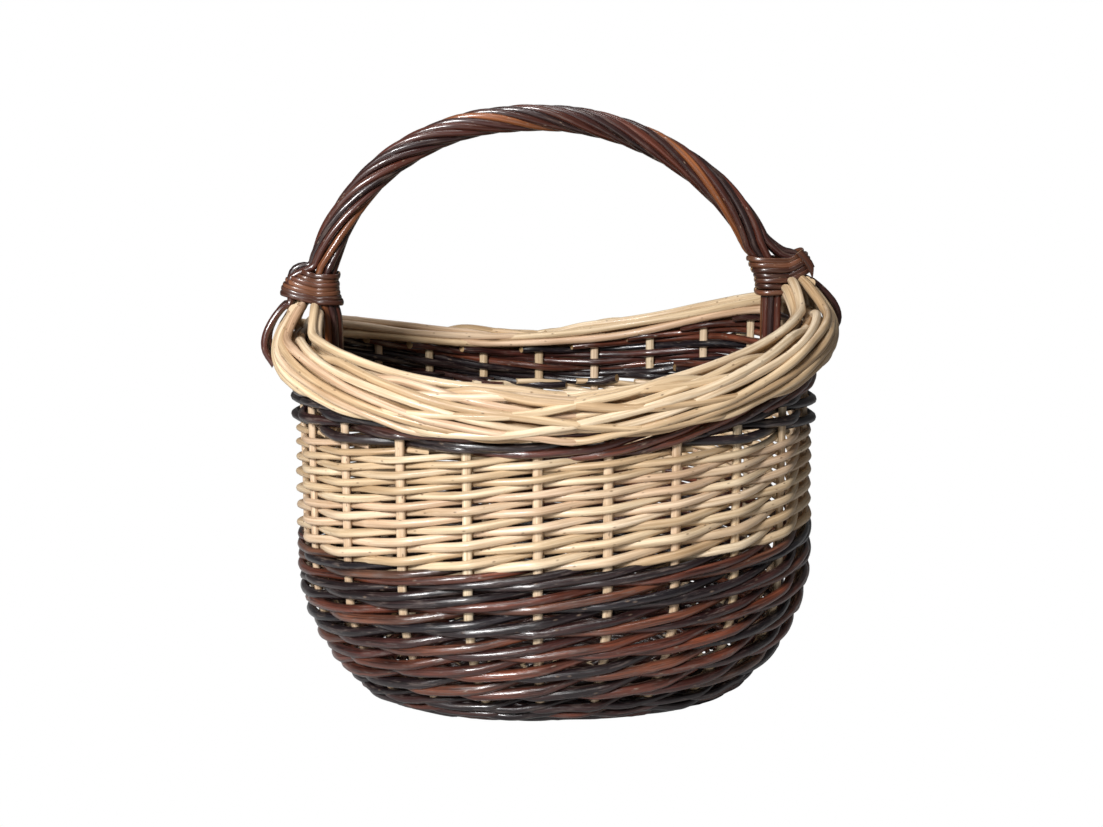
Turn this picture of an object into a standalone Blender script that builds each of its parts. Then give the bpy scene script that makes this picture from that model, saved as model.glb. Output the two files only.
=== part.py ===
"""Woven willow market basket with a fixed bow handle.

+X runs along the basket and in the plane of the handle, -Y is the front and +Z is up.
The origin is on the ground under the middle of the basket. Lengths are in metres.
"""
import math

import bmesh
import bpy
import numpy as np

# Wall: the outer face of the weave is an oval that narrows towards the base
HALF_LENGTH = 0.200
HALF_WIDTH = 0.162
OVAL_POWER = 2.3
BELLY_HEIGHT = 0.110
BELLY_POWER = 2.2
FOOT_NARROWING = np.array((0.275, 0.370))
WALL = 0.017

# Heights of the woven bands
FOOT_TOP = 0.028
DARK_TOP = 0.130
BUFF_TOP = 0.208
RIM_MIDDLE = 0.259
RIM_RISE = 0.036
RIM_TILT = 0.008
BAND_GAP = 0.0004

# Border section: distance out from the wall's outer face, and height above the rim line
BORDER_SECTION = (
    (0.0008, -0.043), (0.0090, -0.040), (0.0140, -0.030), (0.0150, -0.018),
    (0.0110, -0.007), (0.0020, -0.001), (-0.0090, 0.0), (-0.0180, -0.005),
    (-0.0210, -0.012), (-0.0190, -0.019), (0.0008, -0.019),
)
BORDER_SOFFIT = -0.019

# Stakes
STAKE_COUNT = 23
STAKE_RADIUS = 0.0035
STAKE_INSET = WALL / 2
STAKE_TIP_DEPTH = 0.009
STAKE_LEVELS = (0.012, 0.028, 0.050, 0.082, 0.130)
STAKE_BASE_REACH = (0.91, 1.02)

# Base: sticks and stakes lie in one layer, in grooves of the woven base
BASE_THICKNESS = 0.0085
STICK_LEVEL = 0.0065
LONG_STICK_COUNT = 3
LONG_STICK_RADIUS = 0.0030
LONG_STICK_SPACING = 0.013
CROSS_STICK_COUNT = 7
CROSS_STICK_RADIUS = 0.0045
CROSS_STICK_SPACING = 0.026
STICK_REACH = 0.82

# Handle: a core rod inside a ring of twisted rods
BOW_APEX_X = -0.012
BOW_BASE = 0.270
BOW_RISE = 0.1665
BOW_SPAN = {-1: 0.170, 1: 0.186}
BOW_POWER = {-1: 2.2, 1: 2.0}
CORE_RADIUS = 0.0050
CORE_DEPTH = 0.105
ROD_COUNT = 9
ROD_RADIUS = 0.0025
ROD_RING = 0.0085
ROD_STATIONS = 28
TWIST = math.radians(840)
TWIST_EASE = 0.3
TWIST_END = 0.045

# Handle feet, measured out from the middle and up from the rim line
BUNDLE_X = 0.1705
BUNDLE_BLEND = (0.055, -0.005)
CORE_BLEND = (0.020, -0.035)
CORE_LEG_HEIGHTS = (0.030, 0.018, 0.006, -0.006, -0.018, -0.030, -0.042, -CORE_DEPTH)
OUTER_LEG_SECTOR = math.radians(60)
OUTER_LEG_FAN = 1.08
OUTER_LEG_X = 0.1985
OUTER_LEG_HUMP = ((0.5, 0.0455), (0.88, 0.041))
OUTER_LEG_PATH = (
    (0.1985, 0.032), (0.1985, 0.005), (0.2100, -0.002), (0.2175, -0.010),
    (0.2190, -0.018), (0.2185, -0.029), (0.2150, -0.038), (0.2085, -0.0465),
)
INNER_LEG_HEIGHTS = (0.030, 0.014, -0.002, -0.020)
INNER_LEG_END = (0.1785, -0.050)
INNER_LEG_SPREAD = 0.0032
INNER_LEG_STAGGER = 0.002
INNER_LEG_LAST_PLACE = 2
BINDING_HEIGHTS = (0.008, 0.038)
BINDING_POWER = 3.4
BINDING_HALF_DEPTH = 0.0128
BINDING_THICKNESS = 0.0022
BINDING_MARGIN = 0.0020
BINDING_LEVELS = 4

CLEARANCE = 0.00035
RING_STEPS = 2 * STAKE_COUNT
BINDING_STEPS = 32
OVAL_SAMPLES = 1441
BOW_SAMPLES = 361
SLOPE_STEP = 0.001
WELD_DISTANCE = 1e-6
FLAT_ANGLE = 1e-3
SHARP_ANGLE = math.radians(40)

MATERIALS = {
    "buff_willow": ((0.62, 0.43, 0.23), 0.50),
    "dark_willow": ((0.055, 0.026, 0.020), 0.38),
    "handle_willow": ((0.085, 0.030, 0.020), 0.28),
    "skein": ((0.150, 0.052, 0.030), 0.32),
}


def clear_objects():
    """Remove what the start-up scene holds."""
    for item in list(bpy.data.objects):
        bpy.data.objects.remove(item, do_unlink=True)


def make_collection(name):
    collection = bpy.data.collections.new(name)
    bpy.context.scene.collection.children.link(collection)
    return collection


def make_material(kind, name):
    """Each sub-part gets its own Principled material of one of the four kinds."""
    color, roughness = MATERIALS[kind]
    material = bpy.data.materials.new(name + "_" + kind)
    material.use_nodes = True
    shader = material.node_tree.nodes["Principled BSDF"]
    shader.inputs["Base Color"].default_value = (*color, 1.0)
    shader.inputs["Roughness"].default_value = roughness
    shader.inputs["Metallic"].default_value = 0.0
    return material


def smooth(value):
    """Ease from 0 to 1 as value goes from 0 to 1."""
    value = min(max(value, 0.0), 1.0)
    return value * value * (3 - 2 * value)


# ---------------------------------------------------------------- oval wall


def unit_oval(angle, power=OVAL_POWER):
    """Point of the unit oval; angle 0 is the front middle and grows towards +X."""
    x = math.sin(angle)
    y = -math.cos(angle)
    return np.array((math.copysign(abs(x) ** (2 / power), x), math.copysign(abs(y) ** (2 / power), y)))


def wall_size(height):
    """Half length and half width of the wall's outer face at a height."""
    below = max(1 - height / BELLY_HEIGHT, 0.0)
    return np.array((HALF_LENGTH, HALF_WIDTH)) * (1 - FOOT_NARROWING * below ** BELLY_POWER)


def wall_point(direction, height, inset=0.0):
    """Point at a height, inset from the wall's outer face, in a direction of the unit oval."""
    x, y = (wall_size(height) - inset) * direction
    return np.array((x, y, height))


def rim_height(direction):
    """The rim is a saddle, higher at the handle's ends and a little higher at +X."""
    return RIM_MIDDLE + RIM_RISE * direction[0] ** 2 + RIM_TILT * direction[0]


def even_directions(count, offset):
    """Directions of the unit oval at equal steps of arc along the stakes' line."""
    angles = np.linspace(0, 2 * math.pi, OVAL_SAMPLES)
    line = np.array([wall_point(unit_oval(angle), BUFF_TOP, STAKE_INSET) for angle in angles])
    length = np.concatenate(([0.0], np.cumsum(np.linalg.norm(np.diff(line, axis=0), axis=1))))
    wanted = (np.arange(count) + offset) / count * length[-1]
    return [unit_oval(angle) for angle in np.interp(wanted, length, angles)]


# ---------------------------------------------------------------- objects


def add_object(name, data, collection, kind=None):
    item = bpy.data.objects.new(name, data)
    collection.objects.link(item)
    if kind:
        data.materials.append(make_material(kind, name))
    return item


def hide_cutter(item):
    item.hide_render = True
    item.display_type = "WIRE"


def tube(name, points, radius, collection, kind=None):
    """A rod along a polyline: a bevelled curve with closed ends."""
    data = bpy.data.curves.new(name, "CURVE")
    data.dimensions = "3D"
    data.bevel_depth = radius
    data.bevel_resolution = 1
    data.use_fill_caps = True
    spline = data.splines.new("POLY")
    spline.points.add(len(points) - 1)
    for knot, point in zip(spline.points, points):
        knot.co = (*point, 1.0)
    return add_object(name, data, collection, kind)


def to_mesh(item, collection, kind=None):
    """Swap a curve object for a mesh object with its caps welded."""
    depsgraph = bpy.context.evaluated_depsgraph_get()
    mesh = bpy.data.meshes.new_from_object(item.evaluated_get(depsgraph))
    mesh.materials.clear()
    build = bmesh.new()
    build.from_mesh(mesh)
    bmesh.ops.remove_doubles(build, verts=build.verts, dist=WELD_DISTANCE)
    bmesh.ops.dissolve_limit(build, angle_limit=FLAT_ANGLE, verts=build.verts, edges=build.edges)
    bmesh.ops.recalc_face_normals(build, faces=build.faces)
    build.to_mesh(mesh)
    build.free()
    name = item.name
    matrix = item.matrix_world.copy()
    bpy.data.objects.remove(item, do_unlink=True)
    solid = add_object(name, mesh, collection, kind)
    solid.matrix_world = matrix
    return solid


def ring_loft(name, loops, collection, kind):
    """Closed ring solid: skins loops in order and joins the last loop to the first."""
    build = bmesh.new()
    rows = [[build.verts.new(point) for point in loop] for loop in loops]
    steps = len(loops[0])
    for row, after in zip(rows, rows[1:] + rows[:1]):
        for i in range(steps):
            j = (i + 1) % steps
            build.faces.new((row[i], row[j], after[j], after[i]))
    bmesh.ops.recalc_face_normals(build, faces=build.faces)
    mesh = bpy.data.meshes.new(name)
    build.to_mesh(mesh)
    build.free()
    mesh.shade_smooth()
    mesh.set_sharp_from_angle(angle=SHARP_ANGLE)
    return add_object(name, mesh, collection, kind)


def join_cutters(name, items, collection):
    """One mesh object that holds every cutter of a group."""
    build = bmesh.new()
    for item in items:
        build.from_mesh(item.data)
    mesh = bpy.data.meshes.new(name)
    build.to_mesh(mesh)
    build.free()
    for item in items:
        bpy.data.objects.remove(item, do_unlink=True)
    cutter = add_object(name, mesh, collection)
    hide_cutter(cutter)
    return cutter


def cut(item, cutter):
    """Take the cutter's shape out of the item."""
    modifier = item.modifiers.new("clearance", "BOOLEAN")
    modifier.operation = "DIFFERENCE"
    modifier.solver = "EXACT"
    modifier.object = cutter


# ---------------------------------------------------------------- stakes


def stake_path(direction, extra=0.0):
    """A stake lies in the base, bends up and follows the middle of the wall into the border."""
    base_edge = wall_size(0.0) - WALL
    inner, bend = STAKE_BASE_REACH
    flat = [
        np.array((*((base_edge * inner - extra) * direction), STICK_LEVEL)),
        np.array((*(base_edge * bend * direction), STICK_LEVEL)),
    ]
    rise = [wall_point(direction, level, STAKE_INSET) for level in STAKE_LEVELS]
    tip = wall_point(direction, rim_height(direction) - STAKE_TIP_DEPTH + extra, STAKE_INSET)
    return flat + rise + [tip]


def make_stakes(directions, parts, cutters):
    """The stakes, and a slightly larger cutter for the way of each one."""
    tools = []
    for number, direction in enumerate(directions, 1):
        name = f"stake_{number:02d}"
        tube(name, stake_path(direction), STAKE_RADIUS, parts, "buff_willow")
        tool = tube(name + "_way", stake_path(direction, CLEARANCE), STAKE_RADIUS + CLEARANCE, cutters)
        tools.append(to_mesh(tool, cutters))
    return tools


# ---------------------------------------------------------------- base


def make_long_sticks(parts, cutters):
    reach = (wall_size(0.0) - WALL)[0] * STICK_REACH
    tools = []
    for number in range(LONG_STICK_COUNT):
        y = (number - (LONG_STICK_COUNT - 1) / 2) * LONG_STICK_SPACING
        name = f"base_stick_long_{number + 1}"
        ends = [(-reach, y, STICK_LEVEL), (reach, y, STICK_LEVEL)]
        tube(name, ends, LONG_STICK_RADIUS, parts, "buff_willow")
        wide = [(-reach - CLEARANCE, y, STICK_LEVEL), (reach + CLEARANCE, y, STICK_LEVEL)]
        tool = tube(name + "_way", wide, LONG_STICK_RADIUS + CLEARANCE, cutters)
        tools.append(to_mesh(tool, cutters))
    return tools


def make_cross_sticks(long_ways, parts, cutters):
    """Each cross stick is split so that the long sticks pass through it."""
    half_length, half_width = (wall_size(0.0) - WALL) * STICK_REACH
    tools = []
    for number in range(CROSS_STICK_COUNT):
        x = (number - (CROSS_STICK_COUNT - 1) / 2) * CROSS_STICK_SPACING
        reach = half_width * (1 - abs(x / half_length) ** OVAL_POWER) ** (1 / OVAL_POWER)
        name = f"base_stick_cross_{number + 1}"
        ends = [(x, -reach, STICK_LEVEL), (x, reach, STICK_LEVEL)]
        stick = to_mesh(tube(name, ends, CROSS_STICK_RADIUS, parts), parts, "buff_willow")
        cut(stick, long_ways)
        wide = [(x, -reach - CLEARANCE, STICK_LEVEL), (x, reach + CLEARANCE, STICK_LEVEL)]
        tool = tube(name + "_way", wide, CROSS_STICK_RADIUS + CLEARANCE, cutters)
        tools.append(to_mesh(tool, cutters))
    return tools


def make_base_weave(directions, tools, parts):
    """Flat woven oval with open grooves for the sticks and the stakes' ends."""
    data = bpy.data.curves.new("base_weave", "CURVE")
    data.dimensions = "2D"
    data.fill_mode = "BOTH"
    data.extrude = BASE_THICKNESS / 2
    spline = data.splines.new("POLY")
    spline.points.add(len(directions) - 1)
    edge = wall_size(0.0) - WALL - BAND_GAP
    for knot, direction in zip(spline.points, directions):
        knot.co = (*(edge * direction), 0.0, 1.0)
    spline.use_cyclic_u = True
    plate = add_object("base_weave", data, parts)
    plate.location.z = BASE_THICKNESS / 2
    bpy.context.view_layer.update()
    plate = to_mesh(plate, parts, "dark_willow")
    for tool in tools:
        cut(plate, tool)


# ---------------------------------------------------------------- woven bands


def band_loops(directions, levels):
    """Loops up the outer face and down the inner face; a level is a height or a rim offset."""
    outer = [[wall_point(d, level(d)) for d in directions] for level in levels]
    inner = [[wall_point(d, level(d), WALL) for d in directions] for level in reversed(levels)]
    return outer + inner


def at_height(height):
    return lambda direction: height


def below_rim(depth):
    return lambda direction: rim_height(direction) - depth


def make_bands(directions, ways, core_way, parts):
    bands = {
        "foot_wale": ("dark_willow", (0.0, 0.012, FOOT_TOP)),
        "dark_siding": ("dark_willow", (FOOT_TOP + BAND_GAP, 0.050, 0.082, DARK_TOP)),
        "buff_siding": ("buff_willow", (DARK_TOP + BAND_GAP, BUFF_TOP)),
    }
    for name, (kind, heights) in bands.items():
        band = ring_loft(name, band_loops(directions, [at_height(h) for h in heights]), parts, kind)
        cut(band, ways)
    levels = [at_height(BUFF_TOP + BAND_GAP), below_rim(BAND_GAP - BORDER_SOFFIT)]
    top = ring_loft("top_wale", band_loops(directions, levels), parts, "dark_willow")
    cut(top, ways)
    cut(top, core_way)
    cut(bpy.data.objects["buff_siding"], core_way)


def make_border(directions, ways, core_way, parts):
    """The rolled border: a thick roll on top of the wall with an apron outside it."""
    loops = [
        [wall_point(d, rim_height(d) + up, -out) for d in directions]
        for out, up in BORDER_SECTION
    ]
    border = ring_loft("border", loops, parts, "buff_willow")
    cut(border, ways)
    cut(border, core_way)


# ---------------------------------------------------------------- handle


def foot_rim(side):
    return rim_height((side, 0.0))


def bow_x(side, height):
    """Distance out from the middle of the bow's line at a height above its base."""
    power = BOW_POWER[side]
    rise = min(max((height - BOW_BASE) / BOW_RISE, 0.0), 1.0)
    return BOW_SPAN[side] * (1 - rise ** power) ** (1 / power) + side * BOW_APEX_X


def bundle_x(side, up):
    """The rods' bundle leaves the bow's line and comes down beside the border."""
    start, end = BUNDLE_BLEND
    share = smooth((start - up) / (start - end))
    line = bow_x(side, foot_rim(side) + up)
    return line + (BUNDLE_X - line) * share


def bundle_stretch(side, up):
    """How much longer a level cut through the leaning bundle is than a square one."""
    rise = bundle_x(side, up + SLOPE_STEP) - bundle_x(side, up - SLOPE_STEP)
    slope = rise / (2 * SLOPE_STEP)
    return math.hypot(1.0, slope)


def core_x(side, up):
    """The core rod goes on from the bundle into the middle of the wall."""
    start, end = CORE_BLEND
    share = smooth((start - up) / (start - end))
    line = bundle_x(side, up)
    return line + (HALF_LENGTH - STAKE_INSET - line) * share


def bow_stations():
    """Evenly spaced points along the bow between the two feet, from -X to +X."""
    line = []
    for side in (-1, 1):
        power = BOW_POWER[side]
        quarter = []
        for angle in np.linspace(0, math.pi / 2, BOW_SAMPLES):
            out = BOW_SPAN[side] * math.cos(angle) ** (2 / power) + side * BOW_APEX_X
            up = BOW_BASE + BOW_RISE * math.sin(angle) ** (2 / power)
            if up >= foot_rim(side) + TWIST_END:
                quarter.append((side * out, 0.0, up))
        line += quarter if side < 0 else quarter[::-1][1:]
    line = np.array(line)
    length = np.concatenate(([0.0], np.cumsum(np.linalg.norm(np.diff(line, axis=0), axis=1))))
    wanted = np.linspace(0, length[-1], ROD_STATIONS)
    return np.stack([np.interp(wanted, length, line[:, axis]) for axis in range(3)], axis=1)


def core_leg(side):
    return [np.array((side * core_x(side, up), 0.0, foot_rim(side) + up)) for up in CORE_LEG_HEIGHTS]


def make_core(stations, parts, cutters):
    points = core_leg(-1)[::-1] + list(stations) + core_leg(1)
    tube("handle_core", points, CORE_RADIUS, parts, "handle_willow")
    drop = np.array((0.0, 0.0, CLEARANCE))
    points[0] = points[0] - drop
    points[-1] = points[-1] - drop
    way = to_mesh(tube("core_way", points, CORE_RADIUS + CLEARANCE, cutters), cutters)
    hide_cutter(way)
    return way


def rod_angle(number, share):
    """Angle of a rod round the core, 0 being away from the arch's middle."""
    eased = share - TWIST_EASE * math.sin(2 * math.pi * share) / (2 * math.pi)
    return 2 * math.pi * number / ROD_COUNT + TWIST * (1 - eased)


def outer_leg(side, start):
    """Rods on the outside arch over, go down outside the border and tuck in under it."""
    rim = foot_rim(side)
    y = start[1] * OUTER_LEG_FAN
    out = abs(start[0])
    hump = [(out + (OUTER_LEG_X - out) * share, up) for share, up in OUTER_LEG_HUMP]
    return [np.array((side * x, y, rim + up)) for x, up in hump + list(OUTER_LEG_PATH)]


def inner_leg(side, angle):
    """The other rods go straight down inside the border and end against the wall."""
    rim = foot_rim(side)
    y = ROD_RING * math.sin(angle)
    path = []
    for up in INNER_LEG_HEIGHTS:
        out = bundle_x(side, up) + ROD_RING * math.cos(angle) * bundle_stretch(side, up)
        path.append(np.array((side * out, y, rim + up)))
    place = round((math.pi - abs(angle)) / (2 * math.pi / ROD_COUNT) - 0.5)
    end_x, end_up = INNER_LEG_END
    end_x -= INNER_LEG_STAGGER * (INNER_LEG_LAST_PLACE - place)
    end_y = math.copysign(INNER_LEG_SPREAD * (1 + 2 * place), y)
    return path + [np.array((side * end_x, end_y, rim + end_up))]


def rod_leg(side, angle, start):
    angle = (angle + math.pi) % (2 * math.pi) - math.pi
    if abs(angle) < OUTER_LEG_SECTOR:
        return outer_leg(side, start)
    return inner_leg(side, angle)


def make_rods(stations, parts):
    tangents = np.gradient(stations, axis=0)
    tangents /= np.linalg.norm(tangents, axis=1)[:, None]
    across = np.array((0.0, 1.0, 0.0))
    for number in range(ROD_COUNT):
        twisted = []
        for i, (centre, tangent) in enumerate(zip(stations, tangents)):
            angle = rod_angle(number, i / (ROD_STATIONS - 1))
            away = np.array((-tangent[2], 0.0, tangent[0]))
            twisted.append(centre + ROD_RING * (math.cos(angle) * away + math.sin(angle) * across))
        left = rod_leg(-1, rod_angle(number, 0.0), twisted[0])
        right = rod_leg(1, rod_angle(number, 1.0), twisted[-1])
        name = f"handle_rod_{number + 1}"
        tube(name, left[::-1] + twisted + right, ROD_RADIUS, parts, "handle_willow")


def binding_loop(side, up, grow):
    """Oval round the bundle and the outer legs at a height above the rim line."""
    near = bundle_x(side, up) - (ROD_RING + ROD_RADIUS) * bundle_stretch(side, up) - BINDING_MARGIN
    far = OUTER_LEG_X + ROD_RADIUS + BINDING_MARGIN
    half_length = (far - near) / 2 + grow
    half_depth = BINDING_HALF_DEPTH + grow
    loop = []
    for angle in np.linspace(0, 2 * math.pi, BINDING_STEPS, endpoint=False):
        x, y = unit_oval(angle, BINDING_POWER)
        loop.append((side * ((far + near) / 2 + half_length * x), half_depth * y, foot_rim(side) + up))
    return loop


def make_binding(side, name, parts):
    low, high = BINDING_HEIGHTS
    levels = np.linspace(low, high, BINDING_LEVELS)
    outer = [binding_loop(side, up, BINDING_THICKNESS) for up in levels]
    inner = [binding_loop(side, up, 0.0) for up in levels[::-1]]
    ring_loft(name, outer + inner, parts, "skein")


# ---------------------------------------------------------------- assembly


def main():
    clear_objects()
    parts = make_collection("market_basket")
    cutters = make_collection("cutters")
    stake_directions = even_directions(STAKE_COUNT, 0.5)
    ring_directions = even_directions(RING_STEPS, 0.0)

    stake_ways = join_cutters("stake_ways", make_stakes(stake_directions, parts, cutters), cutters)
    long_ways = join_cutters("long_stick_ways", make_long_sticks(parts, cutters), cutters)
    cross_tools = make_cross_sticks(long_ways, parts, cutters)
    cross_ways = join_cutters("cross_stick_ways", cross_tools, cutters)
    make_base_weave(ring_directions, (stake_ways, long_ways, cross_ways), parts)

    stations = bow_stations()
    core_way = make_core(stations, parts, cutters)
    make_bands(ring_directions, stake_ways, core_way, parts)
    make_border(ring_directions, stake_ways, core_way, parts)
    make_rods(stations, parts)
    make_binding(-1, "binding_left", parts)
    make_binding(1, "binding_right", parts)


main()
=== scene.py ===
"""Looks of the woven willow market basket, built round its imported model.

Every rod is a swept tube of its own, with a butt, a tip, knots along it and slanting cut ends.
+X runs along the basket, -Y is the front and +Z is up; lengths are in metres. Places round the
wall count stake spacings: 0 is the front middle, they grow towards +X, and stakes stand at halves.
"""
import math

import bpy
import numpy as np
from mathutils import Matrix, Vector


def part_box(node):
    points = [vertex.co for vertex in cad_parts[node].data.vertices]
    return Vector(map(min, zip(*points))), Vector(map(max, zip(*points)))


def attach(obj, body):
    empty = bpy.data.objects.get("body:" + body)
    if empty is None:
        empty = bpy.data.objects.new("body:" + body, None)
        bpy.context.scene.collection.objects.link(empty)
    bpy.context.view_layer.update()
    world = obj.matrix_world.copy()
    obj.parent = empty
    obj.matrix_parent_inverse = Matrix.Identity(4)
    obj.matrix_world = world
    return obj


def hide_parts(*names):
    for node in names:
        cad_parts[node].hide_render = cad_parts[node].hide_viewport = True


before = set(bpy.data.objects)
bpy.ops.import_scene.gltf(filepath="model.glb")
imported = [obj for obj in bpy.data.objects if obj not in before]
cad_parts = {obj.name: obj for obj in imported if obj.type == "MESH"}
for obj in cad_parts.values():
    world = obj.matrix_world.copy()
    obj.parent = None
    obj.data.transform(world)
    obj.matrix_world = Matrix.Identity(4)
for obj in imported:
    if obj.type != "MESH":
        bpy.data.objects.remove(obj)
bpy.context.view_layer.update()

# Wall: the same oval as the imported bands
HALF_SIZE = np.array((0.200, 0.162))
OVAL_POWER = 2.3
BELLY_HEIGHT = 0.110
BELLY_POWER = 2.2
FOOT_NARROWING = np.array((0.275, 0.370))
WALL = 0.017
STAKE_INSET = WALL / 2
RIM_MIDDLE, RIM_RISE, RIM_TILT = 0.259, 0.036, 0.008
FOOT_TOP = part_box("foot_wale")[1].z
DARK_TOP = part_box("dark_siding")[1].z
BUFF_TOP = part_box("buff_siding")[1].z

# Stakes
STAKES = 23
STAKE_SPACING = 0.048
STAKE_RADIUS = 0.0037
STAKE_FLAT = 0.75
STAKE_BASE_REACH = (0.80, 0.92)
STAKE_BEND_REACH = 1.03
STAKE_LEVELS = (0.016, 0.030, 0.052, 0.082)
STAKE_BASE_LEVEL = 0.0105
STAKE_TIP_DEPTH = 0.012
HANDLE_STAKE = 5.75

# Rods' meshes: sides of a section, and distance between sections
ROD_SIDES = 10
ROD_STEP = 0.006
FINE_SIDES = 12
FINE_STEP = 0.0042
FINE_WORN = 0.035

# Weavers: steps are points for each stake spacing, and radii run from butt to tip
STEPS = 12
TURN = STAKES * STEPS
WEAVE_DEPTH = 0.78
ROD_FILL = 0.93
END_TUCK = 0.0030
BAND_TILT = 0.005
BAND_OVERLAP = 0.0045
DARK_ROWS, DARK_RADII = 18, (0.0045, 0.0031)
BUFF_ROWS, BUFF_RADII = 14, (0.0037, 0.0026)
TOP_ROWS, TOP_RADII = 6, (0.0034, 0.0030)
TOP_DEPTH = 0.018
FOOT_OVERLAP = 0.004

# Foot: strands that go round together. The start is a place, the lowest point and the pitch are
# lengths up the wall, and the slope is the height gained for each unit of such a length
FOOT_STRANDS = 3
FOOT_TURNS = 3.0
FOOT_START = -9.0
FOOT_LOWEST = 0.0036
FOOT_PITCH = 0.0094
FOOT_SLOPE = 0.74
FOOT_RADIUS = 0.0031
FOOT_PARTS = 3

# Packing rods: how far each one reaches from the handle, in stakes
PACKING = {-1: (5.6, 4.7, 3.8), 1: (5.6, 5.0, 4.4, 3.6)}
PACKING_RADIUS = 0.0034
PACKING_TAPER = 2.0
PACKING_THINNEST = 0.0009

# Base: sticks are (count, radius), and rings and strokes are counts for the whole and for a turn
BASE_LEVEL = 0.0085
BASE_DOME = 0.005
BASE_STICKS = {"long": (3, 0.0026), "cross": (7, 0.0032)}
BASE_INNER = np.array((0.080, 0.0050))
BASE_OVERHANG = 0.011
BASE_RINGS = 16
BASE_WEAVERS = 4
BASE_STEPS = 160
BASE_STROKES = 21
BASE_WAVE = 0.0038
BASE_FILL = 0.92

# Border: section followed by the rods' middles, out from the wall face and up from the rim. Run,
# start, end and spacing are shares of it, tucks are (depth, length) and wavers are (share, pace)
BORDER_PATH = np.array((
    (-0.0150, -0.0190), (-0.0172, -0.0120), (-0.0150, -0.0066), (-0.0090, -0.0040), (-0.0005, -0.0050),
    (0.0070, -0.0098), (0.0108, -0.0175), (0.0108, -0.0265), (0.0078, -0.0345), (0.0030, -0.0405),
))
BORDER_RUN = 0.095
BORDER_START = 0.33
BORDER_END = 0.985
BORDER_STARTS = np.arange(-11.25, -0.2, 1.0)
BORDER_FOOT = 0.35 - HANDLE_STAKE
BORDER_BUTT, BORDER_TAPER = 0.0035, 0.0010
BORDER_WAVER = (0.014, 0.36)
BORDER_START_TUCK = (0.0095, 1.0)
BORDER_END_TUCK = (0.0070, 0.9)
CARRIED_STOP, LYING_STOP = 3.0, 0.3
CROSSING_REACH, CROSSING_WIDTH, CROSSING_LIFT = 3.2, 0.85, 0.0022
MIDDLE_START, MIDDLE_BLEND = 2.5, 1.5
LYING_DEPTH = 0.0014
GATHER_REACH, GATHER_IN, GATHER_UP = 0.8, 0.03, 0.015
LIP_RODS = 3
LIP_START = 0.035
LIP_SPACING = 0.092
LIP_RADII = (0.0036, 0.0028)
LIP_WAVER = (0.010, 0.30)
LIP_END_TUCK = (0.0050, 0.9)
LIP_LIFT = 0.0012
CORE_SHARES = (0.30, 0.42, 0.54, 0.66, 0.78)
CORE_DEPTH = 0.0092
CORE_RADIUS = 0.0032

# Handle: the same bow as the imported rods; -1 is the left foot and 1 is the right one
BOW_APEX_X = -0.012
BOW_BASE = 0.270
BOW_RISE = 0.1655
BOW_SPAN = {-1: 0.170, 1: 0.186}
BOW_POWER = {-1: 2.2, 1: 2.0}
ROD_RING = 0.0071
ROD_RADIUS = 0.00280
ROD_TONES = (0.15, 0.45, 0.70, 0.30, 0.96, 0.55, 0.10, 0.62, 0.38)
ROD_COUNT = len(ROD_TONES)
BOW_POINTS = 60
HANDLE_STEP = 0.0035
CORE_ROD_RADIUS = 0.0046
HANDLE_SWELL = 0.24
TWIST = math.radians(840)
TWIST_EASE = 0.3
TWIST_END = 0.037
BUNDLE_X = 0.1705
BUNDLE_BLEND = (0.035, -0.005)
HUMP = {-1: 0.0395, 1: 0.0330}
INNER_LEG_LEVELS = (0.026, 0.014, 0.002, -0.018, -0.04, -0.062)
OUTER_LEG_ARC = math.radians(60)
OUTER_LEG_X = {-1: 0.1990, 1: 0.1910}
OUTER_LEG_REACH = 0.2182
OUTER_LEG_DROP = 0.0060

# Outer legs: (share of the way out, fall) over the border, then (share of the way on, level, spread)
OUTER_LEG_ARCH = ((0.45, 0.0), (0.85, 0.0035))
OUTER_LEG_FALL = ((0.3, 0.009, 1.5), (0.75, -0.002, 1.9), (1.0, -0.013, 2.2), (1.0, -0.023, 2.4),
                  (0.7, -0.033, 2.5))

# Bindings: the far end runs from the lowest turn to the highest one
SKEIN_RADIUS = 0.0020
SKEIN_FLAT = 0.45
BINDING_DEPTH = 0.0120
BINDING_GAP = 0.0038
BINDING_KINK, KINK_WIDTH, KINK_DEPTH = 0.180, 0.004, 0.0012
BINDING_SLOPE = {-1: 0.30, 1: 0.50}
BINDING_FAR = {-1: (0.2055, 0.1900), 1: (0.1975, 0.1915)}
BINDING_LOW = {-1: 0.0118, 1: 0.0095}
BINDING_TURNS = {-1: 7, 1: 5}
BINDING_PITCH = {-1: 0.0034, 1: 0.0041}
LOWER_TURNS = (0.0010, 0.0050)
LOWER_FAR = 0.1840
TAIL_RADIUS, TAIL_FLAT = 0.0030, 0.4
TAIL_PATH = ((0.1865, -0.0120, 0.0320), (0.1912, -0.0120, 0.0275), (0.1955, -0.0115, 0.0220),
             (0.1982, -0.0110, 0.0170))

# Camera: angles in degrees, lens in millimetres
CAMERA_AIM = (-0.002, 0.0, 0.21)
CAMERA_AZIMUTH, CAMERA_ELEVATION = -4.8, 10.9
CAMERA_DISTANCE = 1.185
CAMERA_LENS = 49.8

# Lights: place, size and power in watts
LIGHTS = {
    "key": ((-0.9, -1.45, 1.0), (0.40, 0.40), 45),
    "top": ((-0.2, -0.5, 1.7), (1.1, 0.15), 7),
    "back": ((0.4, 1.4, 1.6), (1.0, 0.7), 3.5),
}
LIGHT_AIM = (0.0, 0.0, 0.2)
WORLD_LIGHT, WORLD_SEEN = 0.10, 1.0
FLOOR_SHADE = 0.50


# ---------------------------------------------------------------- small helpers


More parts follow.
